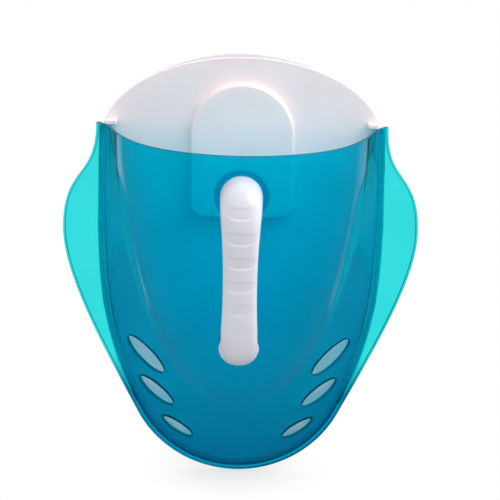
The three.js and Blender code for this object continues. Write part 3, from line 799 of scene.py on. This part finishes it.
def handle_half(name, node, side, material):
    """Half a superellipse carried along the bow, closed along the parting plane and at both feet.

    The section is widest and roundest at the feet. A step trims it towards the lower foot, apart from a
    thin lip on the front half that swells out of the parting line. Dishes sink into the front half, and the
    edge along the parting plane is eased.
    """
    turn = np.linspace(0, np.pi, HANDLE_ROWS)
    up, forward = np.cos(turn), np.sin(turn)
    rise = up / (np.abs(up) ** bow_power(up) + forward ** bow_power(up)) ** (1 / bow_power(up))
    front = bow(rise, HANDLE_SPAN + FOOT_RADIUS, GRIP_REACH)
    back = bow(rise, HANDLE_SPAN - FOOT_RADIUS, GRIP_REACH - GRIP_THICKNESS)
    middle = (front + back) / 2
    thickness = np.linalg.norm(front - back, axis=1, keepdims=True) / 2
    out = (front - back) / (2 * thickness)
    run = np.concatenate([[0], np.cumsum(np.linalg.norm(np.diff(front, axis=0), axis=1))])[:, None]
    rise = rise[:, None]
    width = GRIP_HALF_WIDTH + (FOOT_RADIUS - GRIP_HALF_WIDTH) * rise ** 2
    foot_power = np.where(rise > 0, UPPER_FOOT_POWER, LOWER_FOOT_POWER)
    power = GRIP_POWER + (foot_power - GRIP_POWER) * rise ** 2
    even = np.linspace(0, 1, HANDLE_COLUMNS)
    swing = np.pi * even - SECTION_CROWDING * np.sin(2 * np.pi * even)
    across = signed_power(np.cos(swing), 2 / power)
    bulge = np.maximum(0, np.sin(swing)) ** (2 / power)
    lip = np.zeros_like(bulge)
    if side > 0:
        eased = np.clip(thickness * bulge / LIP_EASE, 0, 1)
        lip = np.clip((FOOT_LIP - run[-1] + run) / LIP_EDGE + 0.5, 0, 1) * eased * (2 - eased)
    footward = np.clip(-rise, 0, 1) ** FOOT_FADE
    trim = FOOT_STEP * (1 - lip) * footward
    thickness = thickness - trim + LIP_SWELL * lip * footward
    lift = thickness * bulge
    x = (width - trim) * across - np.sign(across) * PARTING_ROUND * np.exp(-lift / PARTING_FADE)
    if side > 0:
        lift -= finger_dishes(front, out, run, across, thickness - lift)
    lift += FIT_GAP / 2
    depth, height = (middle[:, [k]] + side * out[:, [k]] * lift for k in (0, 1))
    points = place(side * x, depth, height)
    ends = np.arange(HANDLE_COLUMNS)[None, ::-1]
    last = (HANDLE_ROWS - 1) * HANDLE_COLUMNS
    faces = [grid_faces(HANDLE_ROWS, HANDLE_COLUMNS), ends, ends[:, ::-1] + last]
    make_piece(name, points, faces, material, "scoop", node, sharp=45)


def handle_screw(name, node, height, face, material):
    """A pan-head screw with a cross recess: rings of a turned profile, the head sunk along two bars."""
    under = face - SEAT_FLOOR - CONTACT_GAP
    tip = under + SCREW_LENGTH
    turn = full_turn(ROUND_POINTS)
    fine = np.linspace(0, HEAD_RADIUS * HEAD_FINE_SHARE, HEAD_FINE_RINGS)
    radii = np.concatenate([fine, HEAD_RADIUS * np.array(HEAD_RING_SHARES)])
    x, up = np.abs(radii[:, None] * np.sin(turn)), np.abs(radii[:, None] * np.cos(turn))
    beside = np.clip((RECESS_HALF_WIDTH - np.minimum(x, up)) / RECESS_SIDE, 0, 1)
    along = np.clip((RECESS_REACH - np.maximum(x, up)) / RECESS_END, 0, 1)
    dome = under - HEAD_HEIGHT + HEAD_ROUND * (radii[:, None] / HEAD_RADIUS) ** 4
    rings = list(zip(radii, dome + RECESS_DEPTH * beside * along))
    rings += [(HEAD_RADIUS, under), (SCREW_RADIUS, under), (SCREW_RADIUS, tip - SCREW_POINT)]
    rings += [(SCREW_TIP_RADIUS, tip), (0, tip)]
    ring_piece(name, rings, height, material, "scoop", node, count=ROUND_POINTS)


# Wall bracket and pads

def wall_bracket(material):
    """Rings about the tongue's middle: tongue face, its edge and rear, the neck, the plate and its rear."""
    rear = PANEL_FRONT + 2 * FIT_GAP
    front = rear + TONGUE_THICKNESS
    neck_outline = arch_outline(NECK_RADIUS, NECK_BASE + NECK_STEP)
    outlines = (arch_outline(TONGUE_RADIUS, NECK_BASE), neck_outline, bracket_outline())
    tongue, neck, plate = (distances(points, TONGUE_MIDDLE) for points in outlines)
    rings = [(share * tongue, front) for share in (0, FACE_SHARE)]
    rings += rounding(tongue, front, TONGUE_ROUND, True)
    rings += rounding(tongue, rear, TONGUE_REAR_ROUND, False)
    rings += [(neck + NECK_FILLET, rear), (neck, rear - NECK_FILLET)]
    rings += [(neck + out, depth) for out, depth in NECK_ROOT]
    rings += [(neck + share * (plate - neck), 0) for share in (0.4, 0.8)]
    rings += rounding(plate, 0, BRACKET_ROUND, True)
    rings += rounding(plate, -BRACKET_THICKNESS, BRACKET_REAR_ROUND, False)
    rings += [(share * plate, -BRACKET_THICKNESS) for share in (FACE_SHARE, 0)]
    ring_piece("bracket", rings, TONGUE_MIDDLE, material, "hanger", "wall_bracket")


def adhesive_pad(name, node, x, material):
    """A foam pad: a rounded rectangle whose edges swell a little between its two glue faces."""
    outline = distances(pad_outline(), 0)
    rear, front = -STAND_OFF, -STAND_OFF + PAD_THICKNESS
    face = [(0, 0), (FACE_SHARE * outline, 0)]
    face += [(outline - inwards, sunk) for inwards, sunk in PAD_EDGE]
    rings = [(distance, front - sunk) for distance, sunk in face]
    rings.append((outline, (rear + front) / 2))
    rings += [(distance, rear + sunk) for distance, sunk in face[::-1]]
    ring_piece(name, rings, MOUNT_HEIGHT, material, "hanger", node, x=x)


# Materials

# Refraction of polypropylene, the tint of the coloured one's gloss, and where its tones change: heights on
# the flange, heights from the tip up to where the body's painted shade ends, and margins about the fin's
# bead, the rebate, the bead's slope and the upper seat, whose deeper ring is partly painted shade
PLASTIC_IOR = 1.49
GLOSS_TINT = "1898C0"
FLANGE_TONE_HEIGHTS = (110.0, 75.0)
BODY_SHADE_HEIGHTS = (0.0, 276.0)
BEAD_MARGIN = 0.3
REBATE_MARGIN = 0.5
SLOPE_MARGINS = (0.5, 0.7)
SEAT_SHADE_RING = (-4.5, 1.2)


def colour(code):
    """Linear colour of an sRGB hex value."""
    channels = np.array([int(code[k:k + 2], 16) for k in (0, 2, 4)]) / 255
    linear = np.where(channels <= 0.04045, channels / 12.92, ((channels + 0.055) / 1.055) ** 2.4)
    return (*linear.tolist(), 1.0)


def node(tree, kind, inputs=(), stops=(), **settings):
    """Adds a shader node with its settings, its links and a colour ramp's stops of place and hex colour.

    Inputs go by name or in the node's own order. Each takes a value, an output, or a node for its first
    output in use.
    """
    made = tree.nodes.new("ShaderNode" + kind)
    for key, value in settings.items():
        setattr(made, key, value)
    for key, value in inputs.items() if isinstance(inputs, dict) else enumerate(inputs):
        named = [plug for plug in made.inputs if plug.enabled and plug.name == key]
        plug = named[0] if named else made.inputs[key]
        if isinstance(value, bpy.types.Node):
            value = next(output for output in value.outputs if output.enabled)
        if isinstance(value, bpy.types.NodeSocket):
            tree.links.new(value, plug)
        else:
            plug.default_value = value
    for k, (position, code) in enumerate(stops):
        stop = made.color_ramp.elements[k] if k < 2 else made.color_ramp.elements.new(position)
        stop.position = position
        stop.color = colour(code)
    return made


def empty_nodes(owner):
    """Clears the nodes of a material or world and returns what adds new ones."""
    owner.use_nodes = True
    owner.node_tree.nodes.clear()
    return functools.partial(node, owner.node_tree)


def new_material(name):
    """A material without nodes, what adds them, and the object's coordinates."""
    material = bpy.data.materials.new(name)
    add = empty_nodes(material)
    return material, add, add("TexCoord").outputs["Object"]


def per_metre(millimetres):
    """Texture scale that gives features of a real size."""
    return 1 / (MILLIMETRE * millimetres)


def tinted_polypropylene():
    """Clarified polypropylene, tinted through and gloss moulded.

    The resin takes out red, so rims, ledges and seats that are seen through their length look deeper than
    the open wall. The fins look sea green against the light, with a deeper line along their bead and a
    deeper flange below them. The body in front of the panel is bluer, and its tint is painted deeper towards
    the tip as shade, where less light gets in from the mouth. The ring round the upper seat is deeper,
    partly for the seat's thicker plastic and partly as painted shade from the handle's foot. Faint flow
    clouds and a slow ripple from the tool break up the gloss.
    """
    material, add, at = new_material("tinted_polypropylene_gloss_moulded")
    where = add("SeparateXYZ", (at,)).outputs
    low = add("MapRange", (where["Z"], *map(frame_z, FLANGE_TONE_HEIGHTS)))
    slope = frame_y((FLANGE_THICKNESS + BEAD_DEPTH) / 2)
    off_slope = add("Math", (where["Y"], slope), operation="SUBTRACT")
    from_slope = add("Math", (off_slope,), operation="ABSOLUTE")
    bead = add("MapRange", (from_slope, *(MILLIMETRE * edge for edge in SLOPE_MARGINS), 1.0, 0.0))
    fin = add("Mix", {"Factor": bead, "A": colour("40E4E6"), "B": colour("0098B4")}, data_type="RGBA")
    flange = add("Mix", {"Factor": low, "A": fin, "B": colour("0080A6")}, data_type="RGBA")
    # Painted shade: the body's tint is deeper at the tip and lighter higher up, where more light gets in
    # from the mouth
    upward = add("MapRange", (where["Z"], *map(frame_z, BODY_SHADE_HEIGHTS)))
    body = add("Mix", {"Factor": upward, "A": colour("00C0DE"), "B": colour("00D4EE")}, data_type="RGBA")
    faces = (BEAD_DEPTH + BEAD_MARGIN, REBATE_DEPTH + REBATE_MARGIN)
    forward = add("MapRange", (where["Y"], *map(frame_y, faces)))
    tint = add("Mix", {"Factor": forward, "A": flange, "B": body}, data_type="RGBA")
    # Partly painted shade: a deeper ring round the upper seat, for its thicker plastic and for shade from
    # the handle's foot
    upright = add("VectorMath", (at, (1.0, 0.0, 1.0)), operation="MULTIPLY")
    from_seat = add("VectorMath", (upright, (0, 0, frame_z(UPPER_SEAT))), operation="DISTANCE")
    ring = [MILLIMETRE * (UPPER_SEAT_RADIUS + edge) for edge in SEAT_SHADE_RING]
    over_edge = add("MapRange", (from_seat, *ring))
    seat = add("ValToRGB", (over_edge,), ((0.0, "FFE6F2"), (0.5, "FFCCE6"), (1.0, "FFFFFF")))
    deeper = add("Mix", {"Factor": 1.0, "A": tint, "B": seat}, data_type="RGBA", blend_type="MULTIPLY")
    clouds = add("TexNoise", {"Vector": at, "Scale": per_metre(70), "Detail": 2.0})
    flow = add("MapRange", (clouds, 0.0, 1.0, 0.94, 1.06))
    shade = add("VectorMath", {0: deeper, "Scale": flow}, operation="SCALE")
    ripple = add("TexNoise", {"Vector": at, "Scale": per_metre(26), "Detail": 1.0})
    bump = add("Bump", {"Height": ripple, "Strength": 0.02, "Distance": MILLIMETRE})
    plastic = add("BsdfPrincipled", {
        "Base Color": shade, "Roughness": 0.07, "IOR": PLASTIC_IOR, "Specular Tint": colour(GLOSS_TINT),
        "Transmission Weight": 1.0, "Normal": bump})
    through = add("Gamma", {"Color": shade, "Gamma": 0.5})
    clear = add("BsdfTransparent", {"Color": through})
    shadow = add("LightPath").outputs["Is Shadow Ray"]
    mixed = add("MixShader", (shadow, plastic, clear))
    resin = add("VolumeAbsorption", {"Color": colour("00ECF0"), "Density": 130.0})
    add("OutputMaterial", {"Surface": mixed, "Volume": resin})
    return material


def painted_edge_shading():
    """Edges of the same tinted polypropylene, made opaque, deep teal and satin from the tool's parting:
    painted shade for how light that runs along inside the wall ends here, so rims and slots are drawn by a
    deep teal line."""
    material, add, at = new_material("tinted_polypropylene_edge_painted_dark")
    clouds = add("TexNoise", {"Vector": at, "Scale": per_metre(12), "Detail": 2.0})
    shade = add("Mix", {"Factor": clouds, "A": colour("005A76"), "B": colour("006A86")}, data_type="RGBA")
    plastic = add("BsdfPrincipled", {
        "Base Color": shade, "Roughness": 0.35, "IOR": PLASTIC_IOR, "Specular Tint": colour(GLOSS_TINT)})
    add("OutputMaterial", {"Surface": plastic})
    return material


def white_polypropylene(name, light, dark, roughness, grain):
    """White polypropylene, satin moulded: a soft sheen over a fine spark-eroded grain, with faint clouding.

    The grain, in millimetres, is drawn coarser than the real one, so that it shows.
    """
    material, add, at = new_material(name)
    clouds = add("TexNoise", {"Vector": at, "Scale": per_metre(45), "Detail": 3.0})
    shade = add("ValToRGB", (clouds,), ((0.35, dark), (0.65, light)))
    fine = add("TexNoise", {"Vector": at, "Scale": per_metre(grain), "Detail": 2.0})
    sheen = add("MapRange", (fine, 0.0, 1.0, roughness - 0.05, roughness + 0.05))
    bump = add("Bump", {"Height": fine, "Strength": 0.06, "Distance": 0.4 * MILLIMETRE})
    plastic = add("BsdfPrincipled", {
        "Base Color": shade, "Roughness": sheen, "IOR": PLASTIC_IOR, "Normal": bump})
    add("OutputMaterial", {"Surface": plastic})
    return material


def stainless_steel():
    """Stainless steel, cold headed and tumbled: a grey metal with a soft, slightly uneven shine."""
    material, add, at = new_material("stainless_steel_cold_headed")
    tumbled = add("TexNoise", {"Vector": at, "Scale": per_metre(0.8), "Detail": 3.0})
    dull = add("MapRange", (tumbled, 0.0, 1.0, 0.24, 0.42))
    metal = add("BsdfPrincipled", {"Base Color": colour("C9CACB"), "Metallic": 1.0, "Roughness": dull})
    add("OutputMaterial", {"Surface": metal})
    return material


def closed_cell_foam():
    """Closed-cell adhesive foam, die cut: matt grey with small cells that show as pits."""
    material, add, at = new_material("closed_cell_foam_die_cut")
    cells = add("TexVoronoi", {"Vector": at, "Scale": per_metre(0.9)})
    shade = add("ValToRGB", (cells,), ((0.0, "7E8183"), (1.0, "A3A6A7")))
    bump = add("Bump", {"Height": cells, "Strength": 0.5, "Distance": 0.3 * MILLIMETRE})
    foam = add("BsdfPrincipled", {"Base Color": shade, "Roughness": 0.9, "Normal": bump})
    add("OutputMaterial", {"Surface": foam})
    return material


# Stage, with places in metres, directions in radians and strengths as shares of white

# Floor: its half width, its drop below the tip in millimetres, its greys by kind of ray, and how its
# shading fades to white with the distance
FLOOR_REACH = 8.0
FLOOR_DROP = 1.2
FLOOR_GREYS = (0.45, 0.06, 0.5, 0.6)
SHADOW_FADE = (0.015, 0.095)
SHADOW_WHITE = 0.7

# Surroundings in reflections: a white rear up to an angle from straight behind, a card on each side between
# two angles, with its end and level on the left and the right, and a dim room elsewhere and below
REAR_EDGE = (0.2, 0.3)
CARD_START = (0.58, 0.63)
CARD_END = 0.72
CARD_REACHES = (0.78, 0.88)
CARD_LEVELS = (0.9, 0.5)
CARD_TURNOVER = (-0.1, 0.1)
DIM_LEVEL = 0.06
GROUND_EDGE = (-0.5, -0.4)

# Surroundings inside the plastic, left and right, and the fill on matt faces, in front and behind
INNER_EDGE = (-0.3, 0.3)
INNER_LEVELS = (0.35, 1.3)
FILL_EDGE = (0.35, 0.8)
FILL_LEVELS = (1.0, 0.2)

# Soft lights: name, place, aim, width and height, watts, and whether gloss and clear plastic show them
MIDDLE = (0, -0.07, -0.12)
SOFT_LIGHTS = (
    ("key_softbox", (1.1, -0.3, 1.2), MIDDLE, (1.0, 1.0), 14, True),
    ("front_softbox", (0.3, -1.5, 0.9), MIDDLE, (1.6, 1.2), 2, True),
    ("right_side_light", (1.4, 0.5, 0.0), MIDDLE, (1.0, 1.4), 15, False),
    ("left_side_light", (-1.4, 0.5, 0.0), MIDDLE, (1.0, 1.4), 7, False),
    ("low_front_light", (0.0, -0.27, -0.31), (0, -0.16, -0.17), (0.3, 0.2), 0.14, False),
)

# Camera: the place that it aims at, across and up in millimetres, and where it stands
AIM_X = 8.8
AIM_HEIGHT = 209.2
AZIMUTH = math.radians(-0.4)
ELEVATION = math.radians(15)
ROLL = math.radians(1.1)
DISTANCE = 1.7


def by_ray(add, lighting, mirrored, inner, seen):
    """One of four values: for light on matt faces, for reflections off a face, for reflections inside the
    plastic, and for the eye or a look through the plastic."""
    ray = add("LightPath").outputs
    looked = add("Math", (ray["Is Camera Ray"], ray["Is Transmission Ray"]), operation="MAXIMUM")
    turned = add("Math", (ray["Glossy Depth"], 1.0), operation="MINIMUM")
    through = add("Mix", {"Factor": turned, "A": seen, "B": inner})
    bounced = add("Mix", {"Factor": ray["Is Glossy Ray"], "A": lighting, "B": mirrored})
    return add("Mix", {"Factor": looked, "A": bounced, "B": through})


def floor():
    """A wide pale floor just under the tip. Near the object it keeps a share of its shading, so the shadow
    stays; further out it fades to plain white. Bounced light meets a grey floor, and gloss shows none."""
    material, add, at = new_material("studio_floor")
    spot = add("SeparateXYZ", (at,)).outputs
    flat = add("CombineXYZ", (spot["X"], spot["Y"]))
    away = add("VectorMath", (flat,), operation="LENGTH")
    near = add("MapRange", (away, *SHADOW_FADE, SHADOW_WHITE), interpolation_type="SMOOTHSTEP")
    grey = by_ray(add, *FLOOR_GREYS)
    matt = add("BsdfDiffuse", {"Color": add("CombineColor", (grey, grey, grey))})
    glow = add("Emission", {"Color": colour("FFFFFF"), "Strength": 1.0})
    mixed = add("MixShader", (by_ray(add, 0.0, 0.0, 0.0, near), matt, glow))
    add("OutputMaterial", {"Surface": mixed})
    mesh = bpy.data.meshes.new("floor")
    sides = ((-1, -1), (1, -1), (1, 1), (-1, 1))
    corners = [(FLOOR_REACH * x, FLOOR_REACH * y, frame_z(-FLOOR_DROP)) for x, y in sides]
    mesh.from_pydata(corners, [], [(0, 1, 2, 3)])
    mesh.materials.append(material)
    ground = add_object("floor", mesh)
    ground.visible_glossy = False


def surroundings():
    """White to the eye and through the plastic. Gloss shows a white rear, a bright card at an angle on each
    side and a dim room. Reflections inside the plastic are brighter on the right, and matt faces get less
    light from behind."""
    world = bpy.data.worlds.new("studio")
    add = empty_nodes(world)
    towards = add("SeparateXYZ", (add("TexCoord").outputs["Generated"],)).outputs
    aside = add("Math", (towards["X"],), operation="ABSOLUTE")
    angle = add("Math", (aside, towards["Y"]), operation="ARCTAN2")
    rear = add("MapRange", (angle, *REAR_EDGE, 1.0, DIM_LEVEL))
    level = add("MapRange", (towards["X"], *CARD_TURNOVER, *CARD_LEVELS))
    reach = add("MapRange", (towards["X"], *CARD_TURNOVER, *CARD_REACHES))
    begin = add("MapRange", (angle, *CARD_START))
    end = add("MapRange", (angle, CARD_END, reach, level, 0.0))
    card = add("Math", (begin, end), operation="MULTIPLY")
    shown = add("Math", (rear, card), operation="MAXIMUM")
    above = add("MapRange", (towards["Z"], *GROUND_EDGE, DIM_LEVEL))
    mirrored = add("Math", (shown, above), operation="MINIMUM")
    inner = add("MapRange", (towards["X"], *INNER_EDGE, *INNER_LEVELS))
    fill = add("MapRange", (towards["Y"], *FILL_EDGE, *FILL_LEVELS))
    strength = by_ray(add, fill, mirrored, inner, 1.0)
    sky = add("Background", {"Color": colour("FFFFFF"), "Strength": strength})
    add("OutputWorld", {"Surface": sky})
    bpy.context.scene.world = world


def turn_to(turned, aim):
    """The turn that points a light or camera at a place."""
    return (Vector(aim) - turned.location).to_track_quat("-Z", "Y")


def soft_light(name, spot, aim, size, power, mirrored):
    """A rectangular soft light that points at a place; mirrored says if gloss and clear plastic show it."""
    lamp = bpy.data.lights.new(name, "AREA")
    lamp.shape = "RECTANGLE"
    lamp.size, lamp.size_y = size
    lamp.energy = power
    light = add_object(name, lamp)
    light.location = spot
    light.rotation_euler = turn_to(light, aim).to_euler()
    light.visible_glossy = light.visible_transmission = mirrored


def camera():
    """The photograph's view: straight on from a little above, with the object a touch left of the middle."""
    aim = Vector(place(AIM_X, 0.0, AIM_HEIGHT))
    level = Vector((math.sin(AZIMUTH), -math.cos(AZIMUTH), 0))
    away = level * math.cos(ELEVATION) + Vector((0, 0, math.sin(ELEVATION)))
    lens = bpy.data.cameras.new("camera")
    lens.lens = 136.0
    lens.sensor_width = 36.0
    eye = add_object("camera", lens)
    eye.location = aim + DISTANCE * away
    turned = turn_to(eye, aim).to_matrix() @ Matrix.Rotation(ROLL, 3, "Z")
    eye.rotation_euler = turned.to_euler()
    bpy.context.scene.camera = eye


tinted = tinted_polypropylene()
# The edge material is painted shade: opaque deep teal for the dark look of the clear wall's edges
edge_shade_paint = painted_edge_shading()
# Painted light and shade: panel and grip are one white polypropylene. The panel's white is painted brighter
# and warmer for the light it gets, and the grip's greyer, bluer white is painted shade with the shell's blue
# light in it
panel_white_painted_lit = white_polypropylene("white_polypropylene_satin_painted_light", "FEEEF0", "FAE9EC", 0.4, 0.9)
bracket_white = white_polypropylene("white_polypropylene_plain_moulded", "EAE7EC", "E5E2E8", 0.42, 0.9)
grip_white_painted_shade = white_polypropylene("white_polypropylene_fine_satin_painted_shade", "D9D9E2", "D4D4DE", 0.32, 0.7)
steel = stainless_steel()
foam = closed_cell_foam()

scoop_shell(tinted, edge_shade_paint)
lower_handle_seat(tinted)
panel_nibs(tinted)
back_panel(panel_white_painted_lit)
rim_tabs(panel_white_painted_lit)
handle_half("grip_front", "handle_front", 1, grip_white_painted_shade)
handle_half("grip_back", "handle_back", -1, grip_white_painted_shade)
handle_screw("upper_screw", "upper_handle_screw", UPPER_SEAT, UPPER_FACE, steel)
handle_screw("lower_screw", "lower_handle_screw", LOWER_SEAT, LOWER_FACE, steel)
wall_bracket(bracket_white)
for side, shift in (("left", -PAD_PITCH), ("centre", 0.0), ("right", PAD_PITCH)):
    adhesive_pad(f"pad_{side}", f"adhesive_pad_{side}", shift, foam)

floor()
surroundings()
for light in SOFT_LIGHTS:
    soft_light(*light)
camera()
bpy.context.scene.view_settings.view_transform = "Standard"
